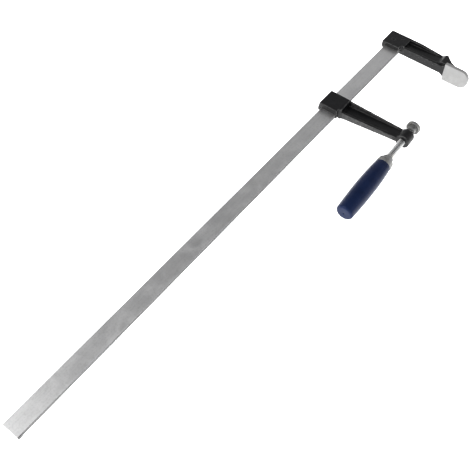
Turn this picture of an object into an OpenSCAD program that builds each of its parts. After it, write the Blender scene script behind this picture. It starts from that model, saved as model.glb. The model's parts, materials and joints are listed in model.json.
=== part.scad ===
// F clamp: a flat bar with a fixed cast jaw, a sliding cast jaw and a screw spindle.
// It lies on its side. +X runs from the bar to the jaw tips, +Y along the bar to the fixed jaw,
// and +Z is normal to the plane of the F. The origin is the bottom centre of the bounding box.
// Inside the modules the bar's centre line is X = 0, its foot is Y = 0 and its mid plane is Z = 0.

/* [Bar] */
// Width of the flat bar, in the plane of the F
bar_w = 30; // [28:1:32]
// Thickness of the flat bar
bar_t = 7; // [6:0.5:8]
// Length of the bar, from its foot to the back of the fixed jaw
bar_len = 985; // [900:5:1500]
// How far the swaged corner at the foot stands out from the bar's edge
swage_out = 0.8; // [0.6:0.1:1.5]
// Length of the swaged corner at the foot
swage_len = 9; // [6:1:10]

/* [Jaws] */
// Reach, from the bar's edge to the spindle axis beside the sliding head
throat = 122.5; // [115:0.5:150]
// Where the sliding jaw stands, from the bar's foot to its near face
jaw_y = 736; // [250:1:760]
// Angle by which the sliding arm and the spindle lean off square when there is no load
arm_splay = 2; // [0:0.1:2.5]
// Depth of the sliding jaw's head along the bar
slide_head_len = 38; // [36:1:42]
// Height of the sliding jaw's head above the bar's mid plane
slide_top = 14; // [13:0.5:16]
// Depth of the sliding jaw's head below the bar's mid plane
slide_low = 10; // [8:0.5:12]
// Depth of the fixed jaw's head along the bar
fixed_head_len = 38; // [35:1:42]
// Height of the fixed jaw's head above the bar's mid plane
fixed_top = 12; // [11:0.5:14]
// Depth of the fixed jaw's head below the bar's mid plane
fixed_low = 8.5; // [8.5:0.5:10]
// Gap on each side between the bar's edges and the sliding jaw's slot
slot_gap = 1; // [0.9:0.05:1.2]
// Gap above and below the bar in the sliding jaw's slot
slot_gap_t = 0.4; // [0.3:0.05:0.6]
// Diameter of the hardened grip pins in the sliding jaw
grip_pin_d = 3.5; // [3:0.5:3.5]

/* [Pad cap] */
// Length of the cap on the fixed jaw's pad, along X
cap_len = 48.5; // [46:0.5:54]
// Half of the cap's width
cap_half = 18.5; // [18:0.5:20]
// Wall thickness of the cap
cap_wall = 1.6; // [1.2:0.1:1.8]

/* [Spindle] */
// Outside diameter of the spindle's thread
spindle_d = 12; // [10.5:0.5:12.5]
// Radial clearance between the thread and the jaw's boss
thread_gap = 0.05; // [0.02:0.01:0.1]
// Length of bare spindle between the ferrule and the boss
screw_out = 45.5; // [10:0.5:60]
// Diameter of the swivel pad
pad_d = 25.2; // [24:0.2:30]
// Diameter of the ball at the spindle's nose
ball_d = 12; // [11.6:0.1:12]

/* [Handle] */
// Greatest diameter of the handle
handle_d = 34; // [33:0.5:36]
// Length of the handle that shows below the ferrule
handle_len = 123; // [90:1:150]
// Diameter of the ferrule's skirt
ferrule_d = 28.6; // [28.2:0.1:31]
// Length of the ferrule along the spindle
ferrule_len = 20.5; // [19:0.5:24]

/* [Hidden] */
$fn = 64;
press_gap = 0.02;
bar_edge = bar_w / 2;
throat_face_x = bar_edge + 1.5;
root_x = bar_edge + 6;
spindle_x = bar_edge + throat;

// Cap and the plate behind it
plate_x = spindle_x - 30;
plate_t = 3.4;
cap_gap = 0.2;
cap_lip = 3.2;
cap_lip_t = 1.4;
cap_tip_r = 16;
cap_face_y = bar_len - 30.5;
plate_y = cap_face_y + cap_wall + cap_gap;
plate_back_y = plate_y + plate_t;
plate_half = cap_half - cap_wall - cap_gap;
plate_tip_x = plate_x + cap_len - cap_wall - cap_gap;
plate_tip_r = cap_tip_r - cap_wall - cap_gap;

// Fixed jaw
fixed_head_y = bar_len - fixed_head_len;
fixed_back = bar_edge + 6.6;
fixed_top_back = fixed_back - 0.4;
fixed_low_back = fixed_back - 2.2;
fixed_wall_z = 1;
fixed_knee = bar_t / 2 + 0.5;
fixed_web_root = 5;
fixed_web_tip = 7;
under_flange_half = 8.2;
flange_t = 5.5;
straight_x = bar_edge + 29;
waist_x = plate_x - 19;
waist_half = 7.6;
bump_top_x = plate_x - 12;
bump_x = plate_x - 8;
gusset_half = plate_half - cap_lip - 0.4;
gusset_tip_x = plate_x + 25;
rivet_r = 3;
rivet_x = 6.5;
rivet_y = bar_len - 15;
rivet_step = 6;
rivet_sink = 0.2;

// Sliding jaw
slide_far_y = jaw_y + slide_head_len;
splay_y = (jaw_y + slide_far_y) / 2;
slot_w = bar_w + 2 * slot_gap;
slot_t = bar_t + 2 * slot_gap_t;
slide_back = bar_edge + 7.5;
slide_top_back = slide_back - 2.6;
slide_nose_len = 10;
slide_knee = slot_t / 2 + 0.8;
low_draft = 3;
grip_pin_r = grip_pin_d / 2;
grip_x = bar_edge + slot_gap / 2 + grip_pin_r;
grip_rear_y = slide_far_y - 6;
grip_front_y = jaw_y + 12;
grip_top_z = slide_top - 4;
near_root_y = jaw_y + 7;
near_tip_y = jaw_y + 14.8;
near_flange_t = 5;
near_root_half = 6.9;
near_tip_half = 4.2;
far_flange_t = 3.2;
far_root_half = 12.6;
far_tip_half = 7;
web_root_half = 1.8;
web_tip_half = 5;
arm_inset = 0.4;

// Boss, spindle and swivel pad
spindle_r = spindle_d / 2;
boss_r = 13;
boss_len = 22;
boss_y0 = jaw_y + 16.2;
boss_y1 = boss_y0 + boss_len;
boss_edge = 1.5;
arm_end_x = spindle_x - boss_r + 3;
thread_end_y = boss_y1 + 5;
ball_r = ball_d / 2;
ball_y = boss_y1 + 15;
neck_r = 3.9;
socket_r = ball_r + 0.1;
pad_r = pad_d / 2;
pad_t = 6.5;
pad_edge = 1;
pad_face_y = ball_y + 7.4;
pad_recess_wall = 2;
pad_recess_depth = 1.2;
hub_r = 7.7;
hub_y = ball_y - 6;
hub_lip = 3.3;
hub_mouth_r = 6.5;
ring_wire_r = 0.5;
ring_r = 4.85;
ring_back = 2.5;
ring_fit = 0.05;
ring_split = 2;

// Ferrule and handle
ferrule_y1 = boss_y0 - screw_out;
ferrule_y0 = ferrule_y1 - ferrule_len;
skirt_r = ferrule_d / 2;
skirt_len = 5.5;
ferrule_r = skirt_r - 0.9;
ferrule_wall = 1.1;
ferrule_cup = 10;
shoulder_y = 13;
shoulder_edge = 1.5;
collar_r = 9;
collar_edge = 1;
handle_y0 = ferrule_y0 - handle_len;
handle_r = handle_d / 2;
handle_end_r = 4.5;
handle_end_step = 0.04;
handle_end_width = 0.9;
tenon_r = ferrule_r - ferrule_wall - press_gap;
tang_r = 4.95;
tang_y0 = handle_y0 + 32;
// Handle's shape: share of the length from its end, share of the greatest radius
handle_shape = [[handle_end_step, handle_end_width], [0.12, 0.932], [0.2, 0.962], [0.3, 0.985],
                [0.42, 0.996], [0.53, 1], [0.65, 0.986], [0.73, 0.964], [0.82, 0.93], [0.91, 0.88],
                [1, 0.826]];

// Where the bounding box's bottom centre lies. The leaning handle reaches farthest in X.
handle_reach = max([for (p = handle_shape) (spindle_x + p[1] * handle_r) * cos(arm_splay)
                    + (splay_y - handle_y0 - p[0] * handle_len) * sin(arm_splay)]);
origin_x = (max(handle_reach, plate_x + cap_len) - slide_back) / 2;
origin_y = bar_len / 2;
origin_z = -cap_half;

// Moves the working frame to the part's own origin
module place() {
    translate([-origin_x, -origin_y, -origin_z]) children();
}

// Leans the sliding arm and all that the spindle carries, about the sliding head's centre
module splayed() {
    translate([0, splay_y, 0]) rotate([0, 0, arm_splay]) translate([0, -splay_y, 0]) children();
}

// Turns a shape made along +Z so that it runs along +Y, from y on the spindle axis
module on_spindle(y) {
    translate([spindle_x, y, 0]) rotate([-90, 0, 0]) children();
}

// Extrudes an outline drawn in X and Z from y0 to y1
module across(y0, y1) {
    translate([0, y1, 0]) rotate([90, 0, 0]) linear_extrude(y1 - y0) children();
}

// Extrudes an outline drawn in X and Y from low below the mid plane to top above it
module slab(low, top) {
    translate([0, 0, -low]) linear_extrude(low + top) children();
}

// A straight pin along Z, from z0 to z1
module pin(x, y, z0, z1, r) {
    translate([x, y, z0]) cylinder(r = r, h = z1 - z0);
}

// Rectangle from x0 to x1 whose two corners at x1 have radius r
module round_tip(x0, x1, half, r) {
    translate([x0, -half]) square([x1 - r - x0, 2 * half]);
    translate([x1 - r - press_gap, r - half]) square([r + press_gap, 2 * (half - r)]);
    for (side = [-1, 1]) translate([x1 - r, side * (half - r)]) circle(r = r);
}

// Head section in X and Z: flat top, a drafted back wall and a narrower underside
module head_section(back, top_back, low_back, knee, low, top) {
    polygon([[throat_face_x - low_draft, -low], [throat_face_x, -knee], [throat_face_x, top],
             [-top_back, top], [-back, 0], [-low_back, -low]]);
}

// Outline in X and Z that runs from half0 wide at x0 to half1 wide at x1
module taper(x0, half0, x1, half1) {
    polygon([[x0, -half0], [x0, half0], [x1, half1], [x1, -half1]]);
}

// The same, carried on straight from x1 to x2
module flare(x0, half0, x1, half1, x2) {
    polygon([[x0, -half0], [x0, half0], [x1, half1], [x2, half1],
             [x2, -half1], [x1, -half1]]);
}

// Rivets through the fixed head, from low below the mid plane to top above it
module rivet_shafts(low, top) {
    for (side = [-1, 1])
        pin(side * rivet_x, rivet_y + side * rivet_step, -low, top, rivet_r);
}

module bar() {
    color([0.68, 0.68, 0.70]) place() difference() {
        slab(bar_t / 2, bar_t / 2) polygon([
            [-bar_edge, 0], [bar_edge + swage_out, 0], [bar_edge + swage_out, swage_len / 2],
            [bar_edge, swage_len], [bar_edge, bar_len], [-bar_edge, bar_len]]);
        rivet_shafts(bar_t, bar_t);
    }
}

// Arm of the fixed jaw: root block, web and the two flanges
module fixed_arm() {
    slab(fixed_low, fixed_top) polygon([
        [bar_edge - 1, plate_y], [root_x, plate_y], [root_x, bar_len], [bar_edge - 1, bar_len]]);
    across(plate_y, bar_len)
        flare(root_x - 1, fixed_web_root, waist_x, fixed_web_tip, bump_x);
    across(plate_y, plate_y + flange_t)
        flare(root_x - 1, under_flange_half, waist_x, under_flange_half, bump_x);
    intersection() {
        slab(fixed_low, fixed_top)
            translate([root_x - 1, bar_len - flange_t]) square([bump_x - root_x + 1, flange_t]);
        across(plate_y, bar_len)
            polygon([[root_x - 1, -fixed_top], [root_x - 1, fixed_top], [straight_x, fixed_top],
                     [waist_x, waist_half], [bump_x, waist_half], [bump_x, -waist_half],
                     [waist_x, -waist_half], [straight_x, -fixed_top]]);
    }
}

// Gusset between the fixed arm and the pad plate
module fixed_gusset() {
    intersection() {
        slab(gusset_half, gusset_half) polygon([
            [waist_x - 1, plate_y], [waist_x - 1, bar_len], [bump_x, bar_len],
            [bump_x + 2.5, bar_len - 3], [plate_x + 5, bar_len - 12.5],
            [plate_x + 18, plate_back_y + 6.5], [gusset_tip_x, plate_back_y],
            [gusset_tip_x, plate_y]]);
        union() {
            across(plate_y + flange_t, bar_len)
                flare(waist_x - 1, waist_half - 1, bump_top_x, gusset_half, gusset_tip_x);
            across(plate_y, plate_y + flange_t)
                flare(bump_x, under_flange_half, plate_x, gusset_half, gusset_tip_x);
        }
    }
}

module fixed_jaw() {
    color([0.16, 0.16, 0.17]) place() difference() {
        union() {
            // Lid over the bar in front of the arm, open on the throat side
            across(fixed_head_y, plate_y + 1)
                polygon([[-fixed_low_back, -bar_t / 2], [-fixed_back, fixed_wall_z],
                         [-fixed_top_back, fixed_top], [bar_edge, fixed_top],
                         [bar_edge, -bar_t / 2]]);
            across(plate_y, bar_len)
                head_section(fixed_back, fixed_top_back, fixed_low_back, fixed_knee, fixed_low,
                             fixed_top);
            fixed_arm();
            fixed_gusset();
            across(plate_y, plate_back_y) round_tip(plate_x, plate_tip_x, plate_half, plate_tip_r);
        }
        // Slot for the bar
        translate([-bar_edge - press_gap, fixed_head_y - 1, -bar_t / 2 - press_gap])
            cube([bar_w + 2 * press_gap, fixed_head_len + 2, bar_t + 2 * press_gap]);
        rivet_shafts(fixed_low + 1, fixed_top + 1);
    }
}

module fixed_jaw_rivets() {
    color([0.16, 0.16, 0.17]) place() rivet_shafts(fixed_low - rivet_sink, fixed_top - rivet_sink);
}

module jaw_cap() {
    lip_y = plate_back_y + cap_gap;
    pocket_half = plate_half + cap_gap;
    pocket_r = plate_tip_r + cap_gap;
    color([0.86, 0.85, 0.80]) place() difference() {
        across(cap_face_y, lip_y + cap_lip_t)
            round_tip(plate_x, plate_x + cap_len, cap_half, cap_tip_r);
        // Pocket for the plate, open at the root so that the cap slides off the tip
        across(plate_y - cap_gap, lip_y)
            round_tip(plate_x - 1, plate_tip_x + cap_gap, pocket_half, pocket_r);
        // Opening between the return lips
        across(lip_y - 1, lip_y + cap_lip_t + 1)
            round_tip(plate_x - 1, plate_tip_x - cap_lip, plate_half - cap_lip, pocket_r - cap_lip);
    }
}

// Arm of the sliding jaw, drawn square to the bar
module sliding_arm() {
    arm_low = slide_low - arm_inset;
    arm_top = slide_top - arm_inset;
    intersection() {
        slab(arm_low, arm_top) polygon([
            [throat_face_x - 1, near_root_y], [arm_end_x, near_tip_y], [arm_end_x, slide_far_y],
            [root_x + 10, slide_far_y], [throat_face_x - 1, slide_far_y - 0.5]]);
        union() {
            across(jaw_y, slide_far_y + 1)
                taper(throat_face_x - 2, slide_top, root_x, slide_top);
            across(jaw_y, slide_far_y + 1)
                taper(root_x - 1, web_root_half, arm_end_x + 1, web_tip_half);
        }
    }
    // Far flange
    intersection() {
        slab(arm_low, arm_top) translate([root_x - 1, slide_far_y - far_flange_t])
            square([arm_end_x - root_x + 1, far_flange_t]);
        across(jaw_y, slide_far_y + 1)
            taper(root_x - 2, far_root_half, arm_end_x + 1, far_tip_half);
    }
    // Near flange, a strip along the near edge
    intersection() {
        slab(near_root_half, near_root_half) polygon([
            [throat_face_x, near_root_y], [arm_end_x, near_tip_y],
            [arm_end_x, near_tip_y + near_flange_t], [throat_face_x, near_root_y + near_flange_t]]);
        across(jaw_y, slide_far_y)
            taper(throat_face_x - 1, near_root_half, arm_end_x + 1, near_tip_half);
    }
    // Boss for the spindle
    on_spindle(boss_y0) cylinder(r = boss_r, h = boss_len - boss_edge);
    on_spindle(boss_y1 - boss_edge) cylinder(r1 = boss_r, r2 = boss_r - boss_edge, h = boss_edge);
}

module sliding_jaw() {
    color([0.16, 0.16, 0.17]) place() difference() {
        union() {
            across(jaw_y, slide_far_y)
                head_section(slide_back, slide_top_back, slide_top_back, slide_knee, slide_low,
                             slide_top);
            splayed() sliding_arm();
        }
        // Slope under the head's near face
        translate([-slide_back - 1, 0, 0]) rotate([90, 0, 90]) linear_extrude(2 * slide_back)
            polygon([[jaw_y - 1, -slide_knee], [jaw_y, -slide_knee],
                     [jaw_y + slide_nose_len, -slide_low], [jaw_y + slide_nose_len, -slide_low - 1],
                     [jaw_y - 1, -slide_low - 1]]);
        // Slot for the bar
        translate([-slot_w / 2, jaw_y - 1, -slot_t / 2]) cube([slot_w, slide_head_len + 2, slot_t]);
        // Bore of the boss, at the thread's outside diameter
        splayed() on_spindle(boss_y0 - 1) cylinder(r = spindle_r + thread_gap, h = boss_len + 2);
        // Holes for the grip pins, open at the lower face only
        pin(-grip_x, grip_rear_y, -slide_low - 1, grip_top_z, grip_pin_r + thread_gap);
        pin(grip_x, grip_front_y, -slide_low - 1, grip_top_z, grip_pin_r);
    }
}

module grip_pin_rear() {
    color([0.55, 0.55, 0.57]) place()
        pin(-grip_x, grip_rear_y, -slide_low, grip_top_z - thread_gap, grip_pin_r);
}

module grip_pin_front() {
    color([0.55, 0.55, 0.57]) place()
        pin(grip_x, grip_front_y, -slide_low, grip_top_z - thread_gap, grip_pin_r);
}

module spindle() {
    thick_y = ferrule_y0 + ferrule_cup;
    color([0.74, 0.74, 0.76]) place() splayed() difference() {
        union() {
            on_spindle(tang_y0) cylinder(r = tang_r, h = ferrule_y1 - tang_y0);
            on_spindle(thick_y) cylinder(r = spindle_r, h = thread_end_y - thick_y);
            on_spindle(thread_end_y) cylinder(r1 = spindle_r, r2 = neck_r, h = spindle_r - neck_r);
            on_spindle(thread_end_y) cylinder(r = neck_r, h = ball_y - thread_end_y);
            on_spindle(ball_y) sphere(r = ball_r);
        }
        // Groove in the ball for the snap ring
        on_spindle(ball_y - ring_back - ring_wire_r - ring_fit) difference() {
            cylinder(r = ball_r + 1, h = 2 * (ring_wire_r + ring_fit));
            translate([0, 0, -1]) cylinder(r = ring_r - ring_wire_r - ring_fit, h = ball_r);
        }
    }
}

module pad_snap_ring() {
    color([0.6, 0.6, 0.62]) place() splayed() difference() {
        on_spindle(ball_y - ring_back)
            rotate_extrude() translate([ring_r, 0]) circle(r = ring_wire_r, $fn = 24);
        translate([spindle_x - ring_split / 2, ball_y - ring_back - 1, 0])
            cube([ring_split, 2, 2 * ball_r]);
    }
}

module swivel_pad() {
    hub_len = pad_face_y - pad_t - hub_y;
    color([0.74, 0.74, 0.76]) place() splayed() difference() {
        union() {
            on_spindle(pad_face_y - pad_t) cylinder(r = pad_r, h = pad_t - pad_edge);
            on_spindle(pad_face_y - pad_edge)
                cylinder(r1 = pad_r, r2 = pad_r - pad_edge, h = pad_edge);
            on_spindle(hub_y) cylinder(r = hub_r, h = hub_len + 1);
        }
        // Ring-shaped recess in the back of the disc
        on_spindle(pad_face_y - pad_t - 1) difference() {
            cylinder(r = pad_r - pad_recess_wall, h = pad_recess_depth + 1);
            translate([0, 0, -1]) cylinder(r = hub_r, h = pad_recess_depth + 3);
        }
        on_spindle(ball_y) sphere(r = socket_r);
        // Mouth, flared so that the neck clears it when the pad tilts
        on_spindle(hub_y - press_gap)
            cylinder(r1 = hub_mouth_r, r2 = sqrt(pow(socket_r, 2) - pow(hub_lip, 2)),
                     h = ball_y - hub_lip - hub_y + 2 * press_gap);
    }
}

module ferrule() {
    color([0.74, 0.74, 0.76]) place() splayed() on_spindle(ferrule_y0)
        rotate_extrude() difference() {
            polygon([[0, 0], [skirt_r, 0], [skirt_r, skirt_len], [ferrule_r, skirt_len + 1],
                     [ferrule_r, shoulder_y - shoulder_edge],
                     [ferrule_r - shoulder_edge, shoulder_y], [collar_r, shoulder_y],
                     [collar_r, ferrule_len - collar_edge],
                     [collar_r - collar_edge, ferrule_len], [0, ferrule_len]]);
            translate([-1, -1]) square([1 + ferrule_r - ferrule_wall, ferrule_cup + 1]);
            translate([-1, -1]) square([1 + spindle_r + press_gap, ferrule_len + 2]);
        }
}

module handle() {
    end_r = handle_end_width * handle_r;
    color([0.09, 0.11, 0.17]) place() splayed() on_spindle(handle_y0)
        rotate_extrude() difference() {
            union() {
                polygon(concat([[0, 0], [end_r - handle_end_r, 0]],
                               [for (p = handle_shape) [p[1] * handle_r, p[0] * handle_len]],
                               [[0, handle_len]]));
                translate([end_r - handle_end_r, handle_end_r]) circle(r = handle_end_r);
                square([tenon_r, handle_len + ferrule_cup - 0.5]);
            }
            translate([-1, tang_y0 - handle_y0 - 0.5])
                square([1 + tang_r + press_gap, handle_len + ferrule_cup]);
        }
}

bar();
fixed_jaw();
fixed_jaw_rivets();
jaw_cap();
sliding_jaw();
grip_pin_rear();
grip_pin_front();
spindle();
pad_snap_ring();
swivel_pad();
ferrule();
handle();
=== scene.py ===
import json
import math

import bmesh
import bpy
from mathutils import Matrix, Vector, noise


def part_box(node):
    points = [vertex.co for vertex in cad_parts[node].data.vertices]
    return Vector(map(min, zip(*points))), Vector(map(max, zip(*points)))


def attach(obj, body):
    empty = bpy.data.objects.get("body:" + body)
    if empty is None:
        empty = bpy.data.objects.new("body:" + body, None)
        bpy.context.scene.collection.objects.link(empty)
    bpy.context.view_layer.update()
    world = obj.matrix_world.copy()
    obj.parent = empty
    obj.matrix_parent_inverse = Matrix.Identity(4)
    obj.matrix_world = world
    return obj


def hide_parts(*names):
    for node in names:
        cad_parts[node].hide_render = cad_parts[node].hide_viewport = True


MM = 0.001

# The photograph's viewpoint: where it looks, from how far, at what angles, through what lens
CAMERA_AIM = Vector((-0.0338, -0.0642, 0.0185))
CAMERA_DISTANCE = 1.1178
CAMERA_AZIMUTH = math.radians(38.63)
CAMERA_ELEVATION = math.radians(55.11)
CAMERA_ROLL = math.radians(-0.19)
CAMERA_LENS = 55.02
SENSOR = 36.0

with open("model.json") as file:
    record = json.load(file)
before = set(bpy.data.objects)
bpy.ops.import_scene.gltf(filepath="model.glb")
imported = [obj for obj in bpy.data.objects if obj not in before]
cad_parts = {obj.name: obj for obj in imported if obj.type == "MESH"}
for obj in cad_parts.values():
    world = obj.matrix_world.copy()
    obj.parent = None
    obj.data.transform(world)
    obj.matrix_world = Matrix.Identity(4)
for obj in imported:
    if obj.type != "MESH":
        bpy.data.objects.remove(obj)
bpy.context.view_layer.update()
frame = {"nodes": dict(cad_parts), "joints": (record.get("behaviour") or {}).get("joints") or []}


# ---------------------------------------------------------------- mesh helpers

def fillet(points, steps=5):
    """Rounds the corners of an outline given as (u, v, radius); radius 0 keeps a corner sharp."""
    out = []
    n = len(points)
    for i, (u, v, radius) in enumerate(points):
        here = Vector((u, v))
        if radius <= 0:
            out.append(here)
            continue
        before = (Vector(points[i - 1][:2]) - here).normalized()
        after = (Vector(points[(i + 1) % n][:2]) - here).normalized()
        half = before.angle(after) / 2
        reach = radius / math.tan(half)
        middle = (before + after).normalized() * (radius / math.sin(half)) + here
        start = here + before * reach - middle
        end = here + after * reach - middle
        sweep = math.atan2(start.x * end.y - start.y * end.x, start.dot(end))
        for k in range(steps + 1):
            turn = Matrix.Rotation(sweep * k / steps, 2)
            out.append(middle + turn @ start)
    return out


def finish_piece(name, bm, material, body, nodes=(), smooth=40.0):
    """Makes an object of a bmesh, shades it smooth under an angle, and lets it ride on its body."""
    bmesh.ops.recalc_face_normals(bm, faces=bm.faces)
    mesh = bpy.data.meshes.new(name)
    bm.to_mesh(mesh)
    bm.free()
    obj = bpy.data.objects.new(name, mesh)
    bpy.context.scene.collection.objects.link(obj)
    shade(obj, smooth)
    mesh.materials.append(material)
    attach(obj, body)
    if nodes:
        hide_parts(*nodes)
    return obj


def shade(obj, angle):
    """Smooth shading, with edges sharper than the angle kept crisp."""
    mesh = obj.data
    bm = bmesh.new()
    bm.from_mesh(mesh)
    limit = math.radians(angle)
    for face in bm.faces:
        face.smooth = True
    for edge in bm.edges:
        edge.smooth = len(edge.link_faces) == 2 and edge.calc_face_angle(0) < limit
    bm.to_mesh(mesh)
    bm.free()


def lathe(outline, segments=96):
    """Revolves a closed outline of (radius, distance) in metres about the spindle axis."""
    bm = bmesh.new()
    rings = []
    for radius, y in outline:
        if radius < 1e-7:
            rings.append([bm.verts.new((0, y, 0))])
            continue
        ring = []
        for k in range(segments):
            angle = 2 * math.pi * k / segments
            ring.append(bm.verts.new((radius * math.cos(angle), y, radius * math.sin(angle))))
        rings.append(ring)
    for a, b in zip(rings, rings[1:] + rings[:1]):
        skin(bm, a, b)
    bm.transform(SCREW_FRAME)
    return bm


def skin(bm, a, b):
    """Joins two rings of vertices with faces; a ring of one vertex is a pole."""
    count = max(len(a), len(b))
    if count == 1:
        return
    for k in range(count):
        corners = [a[k % len(a)], a[(k + 1) % len(a)], b[(k + 1) % len(b)], b[k % len(b)]]
        kept = []
        for vert in corners:
            if vert not in kept:
                kept.append(vert)
        if len(kept) > 2:
            bm.faces.new(kept)


def remeshed(node, voxel, passes):
    """A copy of a CAD node's solid as an even mesh whose edges are softened, as a casting's are."""
    source = frame["nodes"][node]
    obj = bpy.data.objects.new(node + "_soft", source.data.copy())
    bpy.context.scene.collection.objects.link(obj)
    bm = bmesh.new()
    bm.from_mesh(obj.data)
    bmesh.ops.remove_doubles(bm, verts=bm.verts, dist=1e-6)
    bm.to_mesh(obj.data)
    bm.free()
    remesh = obj.modifiers.new("remesh", "REMESH")
    remesh.mode = "VOXEL"
    remesh.voxel_size = voxel
    soften = obj.modifiers.new("soften", "SMOOTH")
    soften.factor = 0.5
    soften.iterations = passes
    bpy.context.view_layer.update()
    made = bpy.data.meshes.new_from_object(obj.evaluated_get(bpy.context.evaluated_depsgraph_get()))
    bpy.data.objects.remove(obj)
    bm = bmesh.new()
    bm.from_mesh(made)
    bpy.data.meshes.remove(made)
    return bm


# ---------------------------------------------------------------- materials

class Look:
    """A Principled material whose colour, roughness and bump come from procedural nodes."""

    def __init__(self, name, **constants):
        self.material = bpy.data.materials.new(name)
        self.material.use_nodes = True
        self.tree = self.material.node_tree
        self.shader = self.tree.nodes["Principled BSDF"]
        self.place = self.tree.nodes.new("ShaderNodeTexCoord").outputs["Object"]
        for socket, value in constants.items():
            self.shader.inputs[socket.replace("_", " ")].default_value = value
        self.height = None

    def link(self, a, b):
        self.tree.links.new(a, b)

    def stretched(self, scale):
        """Object coordinates in metres times a scale along each axis."""
        mapping = self.tree.nodes.new("ShaderNodeMapping")
        mapping.inputs["Scale"].default_value = scale
        self.link(self.place, mapping.inputs["Vector"])
        return mapping.outputs["Vector"]

    def noise(self, scale, detail=4.0, rough=0.55, stretch=(1, 1, 1), warp=0.0):
        node = self.tree.nodes.new("ShaderNodeTexNoise")
        node.inputs["Scale"].default_value = scale
        node.inputs["Detail"].default_value = detail
        node.inputs["Roughness"].default_value = rough
        node.inputs["Distortion"].default_value = warp
        self.link(self.stretched(stretch), node.inputs["Vector"])
        return node.outputs["Fac"]

    def ramp(self, factor, *stops):
        """Colour ramp with (position, colour) stops; a number stands for a grey."""
        node = self.tree.nodes.new("ShaderNodeValToRGB")
        elements = node.color_ramp.elements
        while len(elements) < len(stops):
            elements.new(0.5)
        for element, (position, colour) in zip(elements, stops):
            element.position = position
            element.color = (colour,) * 3 + (1,) if isinstance(colour, (int, float)) else (*colour, 1)
        self.link(factor, node.inputs["Fac"])
        return node.outputs["Color"]

    def mix(self, factor, a, b):
        """Colour a where the factor is 0, and b where it is 1."""
        node = self.tree.nodes.new("ShaderNodeMix")
        node.data_type = "RGBA"
        for value, socket in ((factor, node.inputs[0]), (a, node.inputs[6]), (b, node.inputs[7])):
            if isinstance(value, tuple):
                socket.default_value = (*value, 1)
            else:
                self.link(value, socket)
        return node.outputs[2]

    def math(self, operation, a, b=0.0):
        node = self.tree.nodes.new("ShaderNodeMath")
        node.operation = operation
        for value, socket in ((a, node.inputs[0]), (b, node.inputs[1])):
            if isinstance(value, (int, float)):
                socket.default_value = value
            else:
                self.link(value, socket)
        return node.outputs[0]

    def axis(self, name):
        """One coordinate of the object's own space, in metres."""
        node = self.tree.nodes.new("ShaderNodeSeparateXYZ")
        self.link(self.place, node.inputs[0])
        return node.outputs[name]

    def edges(self, low, high):
        """0 on flat and hollow places, 1 on worn outer edges."""
        node = self.tree.nodes.new("ShaderNodeNewGeometry")
        return self.ramp(node.outputs["Pointiness"], (low, 0.0), (high, 1.0))

    def colour(self, value):
        self.link(value, self.shader.inputs["Base Color"])

    def roughness(self, value):
        self.link(value, self.shader.inputs["Roughness"])

    def bump(self, height, depth):
        """Adds a bump of that depth in metres on top of the bumps before it."""
        node = self.tree.nodes.new("ShaderNodeBump")
        node.inputs["Strength"].default_value = 1.0
        node.inputs["Distance"].default_value = depth
        self.link(height, node.inputs["Height"])
        if self.height is not None:
            self.link(self.height, node.inputs["Normal"])
        self.height = node.outputs["Normal"]
        self.link(self.height, self.shader.inputs["Normal"])


def steel_look():
    look = Look("drawn_steel", Metallic=1.0)
    streaks = look.noise(1.0, 5.0, 0.6, (700, 12, 700))
    mottle = look.noise(46.0, 6.0, 0.65, (1, 0.7, 1), 0.9)
    speck = look.noise(330.0, 4.0, 0.6)
    stain = look.noise(9.0, 4.0, 0.55, (1, 0.6, 1), 0.5)
    base = look.ramp(streaks, (0.30, 0.60), (0.70, 0.67))
    base = look.mix(look.ramp(mottle, (0.40, 0.0), (0.68, 0.55)), base, (0.74, 0.74, 0.735))
    base = look.mix(look.ramp(speck, (0.50, 0.0), (0.72, 0.45)), base, (0.46, 0.46, 0.455))
    base = look.mix(look.ramp(stain, (0.50, 0.0), (0.78, 0.5)), base, (0.42, 0.415, 0.41))
    # Painted shade of the serration's teeth: the two narrow edges are coloured near black
    off_centre = look.math("ABSOLUTE", look.math("SUBTRACT", look.axis("X"), BAR_X))
    edge = look.math("GREATER_THAN", off_centre, BAR_W / 2 - 0.40 * MM)
    look.colour(look.mix(edge, base, (0.10, 0.10, 0.10)))
    look.roughness(look.ramp(mottle, (0.30, 0.34), (0.75, 0.52)))
    look.bump(streaks, 0.00002)
    look.bump(mottle, 0.00012)
    look.bump(speck, 0.00001)
    return look.material


def casting_look(name, worn_share=0.8, painted_reflection=False):
    """Black paint on sand-cast iron, paler at worn outer edges; the second choice makes it paler all over
    in patches, a painted reflection of the bright horizon.
    """
    look = Look(name, IOR=1.30)
    grain = look.noise(620.0, 4.0, 0.6)
    cloud = look.noise(60.0, 3.0)
    base = look.ramp(cloud, (0.30, (0.0050, 0.0050, 0.0056)), (0.72, (0.0085, 0.0085, 0.0095)))
    if painted_reflection:
        # Painted reflection: paler patches all over that stand in for the bright horizon mirrored in the
        # paint
        reflection_patches = look.ramp(look.noise(330.0, 5.0, 0.65), (0.36, 0.12), (0.64, 1.0))
        base = look.mix(reflection_patches, base, (0.058, 0.058, 0.058))
    if worn_share > 0:
        worn = look.math("MULTIPLY", look.edges(0.505, 0.54),
                         look.ramp(look.noise(140.0, 5.0, 0.65), (0.40, 0.15), (0.62, worn_share)))
        base = look.mix(worn, base, (0.13, 0.13, 0.13))
    look.colour(base)
    look.roughness(look.ramp(grain, (0.25, 0.26), (0.75, 0.44)))
    look.bump(look.noise(240.0, 3.0), 0.00014)
    look.bump(grain, 0.00006)
    return look.material


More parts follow.
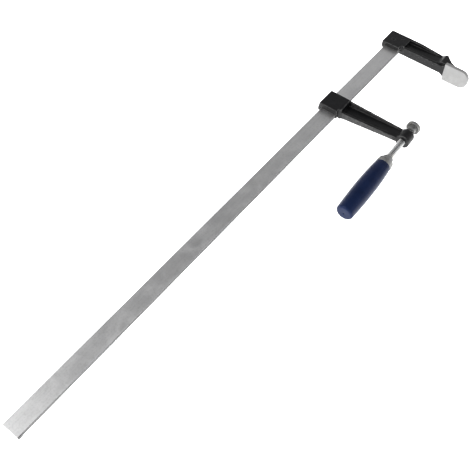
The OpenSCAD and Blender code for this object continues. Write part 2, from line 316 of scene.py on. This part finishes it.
def zinc_look(name, dark=1.0, rough=0.26):
    """Zinc plate. dark scales its colour: under 1 is darker, over 1 is brighter."""
    look = Look(name, Metallic=1.0, Specular_Tint=(0.3, 0.3, 0.3, 1.0))
    cloud = look.noise(90.0, 4.0, 0.6, warp=0.4)
    blotch = look.noise(260.0, 4.0, 0.65)
    turning = look.noise(1.0, 4.0, 0.6, (60, 2600, 60))
    base = look.ramp(cloud, (0.30, (0.36 * dark, 0.37 * dark, 0.38 * dark)),
                     (0.55, (0.45 * dark, 0.45 * dark, 0.445 * dark)),
                     (0.78, (0.42 * dark, 0.41 * dark, 0.37 * dark)))
    grime = look.ramp(blotch, (0.52, 0.0), (0.68, 0.6))
    base = look.mix(grime, base, (0.20 * dark, 0.20 * dark, 0.18 * dark))
    look.colour(base)
    look.roughness(look.ramp(cloud, (0.25, rough), (0.75, rough + 0.18)))
    look.bump(turning, 0.000012)
    look.bump(blotch, 0.00003)
    return look.material


def pin_look():
    look = Look("ground_pin_steel", Metallic=1.0)
    rings = look.noise(1.0, 3.0, 0.6, (60, 60, 3000))
    look.colour(look.ramp(rings, (0.3, 0.42), (0.7, 0.55)))
    look.roughness(look.ramp(look.noise(400.0), (0.3, 0.25), (0.7, 0.42)))
    look.bump(rings, 0.00001)
    return look.material


def cap_look():
    look = Look("soft_cap_plastic", IOR=1.35)
    cloud = look.noise(55.0, 4.0, 0.6, warp=0.8)
    base = look.ramp(cloud, (0.30, (0.275, 0.275, 0.272)), (0.70, (0.335, 0.335, 0.332)))
    scuff = look.ramp(look.noise(1.0, 5.0, 0.7, (500, 500, 60)), (0.62, 0.0), (0.74, 0.35))
    look.colour(look.mix(scuff, base, (0.21, 0.21, 0.208)))
    look.roughness(look.ramp(cloud, (0.25, 0.38), (0.75, 0.55)))
    look.bump(look.noise(900.0, 3.0), 0.00002)
    look.bump(look.noise(120.0, 2.0), 0.00006)
    return look.material


def handle_look():
    look = Look("navy_gloss_on_wood", IOR=1.20, Coat_Weight=0.03, Coat_Roughness=0.12)
    grain = look.noise(1.0, 5.0, 0.6, (420, 22, 420), warp=0.4)
    cloud = look.noise(45.0, 3.0)
    base = look.ramp(cloud, (0.30, (0.0045, 0.0115, 0.044)), (0.70, (0.0075, 0.0175, 0.062)))
    chips = look.math("MULTIPLY", look.edges(0.52, 0.58),
                      look.ramp(look.noise(260.0, 4.0, 0.7), (0.55, 0.0), (0.68, 0.7)))
    look.colour(look.mix(chips, base, (0.10, 0.11, 0.14)))
    look.roughness(look.ramp(grain, (0.3, 0.26), (0.7, 0.40)))
    look.bump(grain, 0.00006)
    look.bump(look.noise(180.0, 2.0), 0.00008)
    return look.material


# ---------------------------------------------------------------- measures taken from the frame

BAR_LO, BAR_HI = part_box("bar")
BAR_W = 30 * MM
BAR_X = BAR_LO.x + BAR_W / 2
BAR_Z = (BAR_LO.z + BAR_HI.z) / 2
BALL_R = 6 * MM
THREAD_R = 6 * MM

# How the castings' skin is made: mesh size, softening passes, and the sand's grain and depth
CASTING_VOXEL = 0.7 * MM
CASTING_PASSES = 7
SAND_GRAIN = 9 * MM
SAND_DEPTH = 0.08 * MM

# The spindle's own frame: its Y runs along the leaning axis from the centre of the ball
screw_joint = next(joint for joint in frame["joints"] if joint["name"] == "spindle_turn")
SCREW_AXIS = Vector(screw_joint["axis"]).normalized()
BALL = Vector(screw_joint["pos_m"])
SCREW_LEAN = Vector((0, 1, 0)).rotation_difference(SCREW_AXIS)
SCREW_FRAME = Matrix.Translation(BALL) @ SCREW_LEAN.to_matrix().to_4x4()


def along_screw(node):
    """How far a node reaches along the spindle axis from the ball's centre, and its greatest radius."""
    spots = [vert.co - BALL for vert in frame["nodes"][node].data.vertices]
    steps = [spot.dot(SCREW_AXIS) for spot in spots]
    radii = [(spot - SCREW_AXIS * step).length for spot, step in zip(spots, steps)]
    return min(steps), max(steps), max(radii)


SPINDLE_Y0, _, _ = along_screw("spindle")
FERRULE_Y0, FERRULE_Y1, SKIRT_R = along_screw("ferrule")
HANDLE_Y0, HANDLE_Y1, HANDLE_R = along_screw("handle")
PAD_Y0, PAD_Y1, PAD_R = along_screw("swivel_pad")


STEEL = steel_look()
CASTING = casting_look("black_paint_on_iron")
# A paler copy of the black paint: painted reflection, used on the sliding jaw arm's faces that look
# towards -Y
CASTING_PAINTED_REFLECTION = casting_look("black_paint_painted_reflection", painted_reflection=True)
RIVET_PAINT = casting_look("black_paint_on_rivets", worn_share=0)
ZINC = zinc_look("zinc_plate", 1.55)
ZINC_DULL = zinc_look("zinc_plate_dull", 0.74, 0.44)
# A much darker copy of the zinc, for the thread's root and the ring-shaped recess of the pad
ZINC_DARKENED = zinc_look("zinc_plate_darkened", 0.3)
PIN = pin_look()
CAP = cap_look()
HANDLE = handle_look()


# ---------------------------------------------------------------- the pieces

def make_bar():
    """Flat bar with bevelled long edges, serrated narrow edges and a swaged foot corner."""
    half_w = BAR_W / 2
    half_t = (BAR_HI.z - BAR_LO.z) / 2
    bevel = 0.45 * MM
    pitch = 1.8 * MM
    depth = 0.35 * MM
    swage = BAR_HI.x - BAR_X - half_w
    swage_end = 9 * MM
    plain_end = 12 * MM
    stations = [0.0, 0.4 * MM, 2 * MM, 3.5 * MM, 4.5 * MM, 6 * MM, 7.5 * MM, swage_end, plain_end]
    while stations[-1] + pitch / 2 < BAR_HI.y - BAR_LO.y - 1 * MM:
        stations.append(stations[-1] + pitch / 2)
    stations += [BAR_HI.y - BAR_LO.y - 0.4 * MM, BAR_HI.y - BAR_LO.y]
    bm = bmesh.new()
    rings = []
    for i, along in enumerate(stations):
        toothed = along > plain_end and i < len(stations) - 2
        cut = depth if toothed and i % 2 else 0.0
        out = swage * min(1.0, max(0.0, (swage_end - along) / (swage_end / 2)))
        end = 0.4 * MM if i in (0, len(stations) - 1) else 0.0
        left, right = -half_w + cut + end, half_w + out - cut - end
        top = half_t - end
        section = [(left, -top + bevel), (left, top - bevel), (left + bevel, top),
                   (left + 2 * bevel, top), (right - 2 * bevel, top), (right - bevel, top),
                   (right, top - bevel), (right, -top + bevel), (right - bevel, -top),
                   (right - 2 * bevel, -top), (left + 2 * bevel, -top), (left + bevel, -top)]
        rings.append([bm.verts.new((BAR_X + x, BAR_LO.y + along, BAR_Z + z)) for x, z in section])
    for a, b in zip(rings, rings[1:]):
        skin(bm, a, b)
    bm.faces.new(rings[0])
    bm.faces.new(rings[-1])
    return finish_piece("bar_rail", bm, STEEL, "rail", ["bar"], 28)


def roughen(bm, size, depth):
    """Moves a casting's skin inwards by a little uneven amount, as sand leaves it."""
    bm.normal_update()
    moves = []
    for vert in bm.verts:
        lift = noise.noise(vert.co / size) * 0.5 + noise.noise(vert.co / (size * 0.4)) * 0.25
        moves.append(vert.normal * (lift - 0.75) * depth)
    for vert, move in zip(bm.verts, moves):
        vert.co += move


def make_fixed_jaw():
    bm = remeshed("fixed_jaw", CASTING_VOXEL, CASTING_PASSES)
    roughen(bm, SAND_GRAIN, SAND_DEPTH)
    return finish_piece("fixed_jaw_casting", bm, CASTING, "rail", ["fixed_jaw"], 70)


def make_sliding_jaw():
    bm = remeshed("sliding_jaw", CASTING_VOXEL, CASTING_PASSES)
    roughen(bm, SAND_GRAIN, SAND_DEPTH)
    # The bore keeps its clearance round the screw
    bore = THREAD_R + 0.2 * MM
    for vert in bm.verts:
        spot = vert.co - BALL
        side = spot - SCREW_AXIS * spot.dot(SCREW_AXIS)
        if 0 < side.length < bore:
            vert.co += side.normalized() * (bore - side.length)
    # The arm's faces that look towards -Y get the paler paint: a painted reflection of the bright horizon
    # on that side
    bm.normal_update()
    arm_start = BAR_X + BAR_W * 0.8
    arm_end = BALL.x - 16 * MM
    for face in bm.faces:
        if face.normal.y < -0.75 and arm_start < face.calc_center_median().x < arm_end:
            face.material_index = 1
    jaw = finish_piece("sliding_jaw_casting", bm, CASTING, "jaw", ["sliding_jaw"], 70)
    jaw.data.materials.append(CASTING_PAINTED_REFLECTION)


def make_cap():
    bm = remeshed("jaw_cap", 0.45 * MM, 8)
    return finish_piece("pad_cap", bm, CAP, "cap", ["jaw_cap"], 70)


def make_spindle():
    """Trapezoidal right-hand thread cut into the screw, a turned neck and a ball nose."""
    lead = 3 * MM
    root = THREAD_R - 1.2 * MM
    tang_r = 4.95 * MM
    neck_r = 3.9 * MM
    thread_end = -10.5 * MM
    thread_start = FERRULE_Y1 - 6 * MM
    fade = 1.5 * MM
    segments = 72

    def radius(y, angle):
        if y < thread_start:
            return tang_r
        if y > thread_end:
            neck = max(neck_r, root - (y - thread_end))
            ball = math.sqrt(max(0.0, BALL_R ** 2 - y ** 2)) if abs(y) < BALL_R else 0.0
            return max(neck if y < 0 else 0.0, ball)
        phase = ((y - SPINDLE_Y0) / lead - angle / (2 * math.pi)) % 1.0
        rise = abs(phase - 0.5) * 2
        share = min(1.0, max(0.0, (rise - 0.30) / 0.25))
        run_out = min(1.0, (thread_end - y) / fade, (y - thread_start) / fade + 0.2)
        return root + (THREAD_R - root) * share * run_out

    ys = [SPINDLE_Y0, SPINDLE_Y0 + 0.01 * MM]
    y = thread_start - 1 * MM
    while y < -BALL_R * 0.9:
        ys.append(y)
        y += 0.2 * MM
    ys += [-BALL_R * math.cos(math.pi * (0.14 + 0.86 * k / 24)) for k in range(24)]
    bm = bmesh.new()
    rings = [[bm.verts.new((0, SPINDLE_Y0, 0))]]
    for y in sorted(ys):
        ring = []
        for k in range(segments):
            angle = 2 * math.pi * k / segments
            r = radius(y, angle)
            ring.append(bm.verts.new((r * math.sin(angle), y, r * math.cos(angle))))
        rings.append(ring)
    rings.append([bm.verts.new((0, BALL_R, 0))])
    for a, b in zip(rings, rings[1:]):
        skin(bm, a, b)
    # The thread's root is coloured darker
    darkened_root_r = THREAD_R - 0.6 * MM
    for face in bm.faces:
        middle = face.calc_center_median()
        if thread_start < middle.y < thread_end and math.hypot(middle.x, middle.z) < darkened_root_r:
            face.material_index = 1
    bm.transform(SCREW_FRAME)
    spindle = finish_piece("screw_spindle", bm, ZINC, "screw", ["spindle"], 50)
    spindle.data.materials.append(ZINC_DARKENED)


def make_ferrule():
    """Pressed cap: a collar round the spindle, a rounded shoulder and a rolled skirt over the handle."""
    y0, y1 = FERRULE_Y0, FERRULE_Y1
    body = SKIRT_R - 0.9 * MM
    bore = THREAD_R + 0.02 * MM
    cup = body - 1.1 * MM
    cup_y = y0 + 10 * MM
    shoulder = y0 + 13 * MM
    collar = 9 * MM
    outline = fillet([
        (cup, y0, 0.2 * MM), (SKIRT_R, y0, 0.7 * MM), (SKIRT_R, y0 + 5.4 * MM, 0.7 * MM),
        (body, y0 + 6.5 * MM, 0.5 * MM), (body, shoulder, 2.4 * MM),
        (collar + 0.6 * MM, shoulder, 0.9 * MM), (collar, y1, 1.2 * MM),
        (bore + 0.8 * MM, y1, 0.3 * MM), (bore, y1 - 1 * MM, 0), (bore, cup_y, 0), (cup, cup_y, 0.5 * MM)])
    return finish_piece("ferrule_cap", lathe(outline), ZINC_DULL, "screw", ["ferrule"], 35)


def make_handle():
    """Turned barrel handle with a rounded foot, a centre mark and a neck under the ferrule."""
    y0 = HANDLE_Y0
    length = FERRULE_Y0 - y0
    foot_r = 0.9 * HANDLE_R
    neck_r = 0.826 * HANDLE_R
    inner = SKIRT_R - 2.05 * MM
    bore = 4.97 * MM
    bore_y = SPINDLE_Y0 - 0.5 * MM
    corner = 4.5 * MM
    steps = 36
    # Centre mark of the lathe, the end face and its rounded edge
    end = [Vector((0, y0 + 1.5 * MM)), Vector((1.1 * MM, y0 + 0.5 * MM)),
           Vector((1.6 * MM, y0 + 0.12 * MM)), Vector((2.4 * MM, y0))]
    end += [Vector((foot_r - corner + corner * math.sin(t), y0 + corner - corner * math.cos(t)))
            for t in (math.pi / 2 * k / 12 for k in range(13))]
    barrel = []
    for k in range(1, steps + 1):
        share = k / steps
        # Widest a little past the middle, and drawn in more towards the neck than the foot
        if share < 0.5:
            r = foot_r + (HANDLE_R - foot_r) * math.sin(math.pi * share) ** 0.8
        else:
            r = neck_r + (HANDLE_R - neck_r) * math.cos(math.pi * (share - 0.5)) ** 0.75
        barrel.append(Vector((r - 0.1 * MM, y0 + corner + (length - corner) * share)))
    inside = [Vector((inner, FERRULE_Y0 + 0.2 * MM)), Vector((inner, HANDLE_Y1)),
              Vector((bore, HANDLE_Y1)), Vector((bore, bore_y)), Vector((0, bore_y))]
    bm = lathe(end + barrel + inside, 112)
    return finish_piece("turned_handle", bm, HANDLE, "screw", ["handle"], 40)


def make_pad():
    """Swivel pad: a bevelled disc with a recessed back, a stepped hub and a spherical socket."""
    back = PAD_Y1 - 6.5 * MM
    hub = 7.7 * MM
    socket = BALL_R + 0.1 * MM
    lip = 3.3 * MM
    mouth = 6.5 * MM
    recess = back + 1.2 * MM
    outline = [(0, PAD_Y1, 0), (PAD_R, PAD_Y1, 1.0 * MM), (PAD_R, back, 0.7 * MM),
               (PAD_R - 2 * MM, back, 0.5 * MM), (PAD_R - 2.3 * MM, recess, 0.4 * MM),
               (hub + 1.1 * MM, recess, 0.4 * MM), (hub + 0.4 * MM, back - 1.2 * MM, 0.5 * MM),
               (hub, PAD_Y0, 0.5 * MM), (mouth, PAD_Y0, 0.15 * MM)]
    rim = math.sqrt(socket ** 2 - lip ** 2)
    points = fillet(outline)
    start = math.atan2(rim, -lip)
    angles = [start * (1 - k / 14) for k in range(15)]
    points += [Vector((socket * math.sin(angle), socket * math.cos(angle))) for angle in angles]
    bm = lathe(points)
    # The ring-shaped recess is coloured darker
    for face in bm.faces:
        spot = face.calc_center_median() - BALL
        step = spot.dot(SCREW_AXIS)
        radius = (spot - SCREW_AXIS * step).length
        if back + 0.3 * MM < step < recess + 0.2 * MM and hub < radius < PAD_R - 2 * MM:
            face.material_index = 1
    pad = finish_piece("swivel_pad_disc", bm, ZINC_DULL, "pad", ["swivel_pad"], 35)
    pad.data.materials.append(ZINC_DARKENED)


def paint_nodes():
    """Finishes for the CAD nodes that stay visible."""
    finishes = {"fixed_jaw_rivets": RIVET_PAINT, "grip_pin_rear": PIN, "grip_pin_front": PIN,
                "pad_snap_ring": PIN}
    for node, look in finishes.items():
        mesh = frame["nodes"][node].data
        mesh.materials.clear()
        mesh.materials.append(look)


# ---------------------------------------------------------------- stage, light and camera

def make_floor():
    bm = bmesh.new()
    bmesh.ops.create_grid(bm, x_segments=2, y_segments=2, size=6.0)
    mesh = bpy.data.meshes.new("floor")
    bm.to_mesh(mesh)
    bm.free()
    floor = bpy.data.objects.new("floor", mesh)
    floor.location.z = -0.0004
    bpy.context.scene.collection.objects.link(floor)
    # The glow brings the floor up to white, and takes the contact shadows with it
    look = Look("floor_white", Roughness=0.9, Emission_Color=(1, 1, 1, 1), Emission_Strength=1.9)
    look.colour(look.ramp(look.noise(3.0), (0.3, 0.90), (0.7, 0.92)))
    mesh.materials.append(look.material)


def make_light(name, place, aim, width, height, power):
    data = bpy.data.lights.new(name, "AREA")
    data.shape = "RECTANGLE"
    data.size = width
    data.size_y = height
    data.energy = power
    light = bpy.data.objects.new(name, data)
    light.location = place
    light.rotation_mode = "QUATERNION"
    light.rotation_quaternion = (Vector(aim) - Vector(place)).to_track_quat("-Z", "Y")
    bpy.context.scene.collection.objects.link(light)


def make_world():
    """A soft studio sky: bright to the horizon, with a dark band above it and dim overhead."""
    world = bpy.data.worlds.new("studio")
    bpy.context.scene.world = world
    world.use_nodes = True
    tree = world.node_tree
    place = tree.nodes.new("ShaderNodeTexCoord")
    split = tree.nodes.new("ShaderNodeSeparateXYZ")
    ramp = tree.nodes.new("ShaderNodeValToRGB")
    stops = ramp.color_ramp.elements
    sky = ((0.0, 0.8), (0.60, 0.85), (0.66, 0.45), (0.72, 0.10), (0.80, 0.34), (1.0, 0.34))
    while len(stops) < len(sky):
        stops.new(0.5)
    for stop, (height, level) in zip(stops, sky):
        stop.position = height
        stop.color = (level, level, level * 1.01, 1)
    tree.links.new(place.outputs["Generated"], split.inputs[0])
    tree.links.new(split.outputs["Z"], ramp.inputs["Fac"])
    tree.links.new(ramp.outputs["Color"], tree.nodes["Background"].inputs["Color"])
    tree.nodes["Background"].inputs["Strength"].default_value = 1.0


def make_camera():
    data = bpy.data.cameras.new("camera")
    data.sensor_width = SENSOR
    data.lens = CAMERA_LENS
    data.clip_start, data.clip_end = 0.01, 50
    camera = bpy.data.objects.new("camera", data)
    back = Vector((math.sin(CAMERA_AZIMUTH) * math.cos(CAMERA_ELEVATION),
                   -math.cos(CAMERA_AZIMUTH) * math.cos(CAMERA_ELEVATION), math.sin(CAMERA_ELEVATION)))
    camera.location = CAMERA_AIM + back * CAMERA_DISTANCE
    turn = (-back).to_track_quat("-Z", "Y").to_matrix() @ Matrix.Rotation(CAMERA_ROLL, 3, "Z")
    camera.rotation_mode = "QUATERNION"
    camera.rotation_quaternion = turn.to_quaternion()
    bpy.context.scene.collection.objects.link(camera)
    bpy.context.scene.camera = camera


make_bar()
make_fixed_jaw()
make_cap()
make_sliding_jaw()
make_spindle()
make_ferrule()
make_handle()
make_pad()
paint_nodes()
make_floor()
make_light("key", (-0.85, -1.10, 1.40), (-0.05, -0.2, 0), 1.2, 1.2, 16)
make_light("fill", (1.2, -1.0, 0.9), (0, 0, 0), 1.2, 0.8, 3)
make_world()
make_camera()
bpy.context.scene.view_settings.view_transform = "Standard"
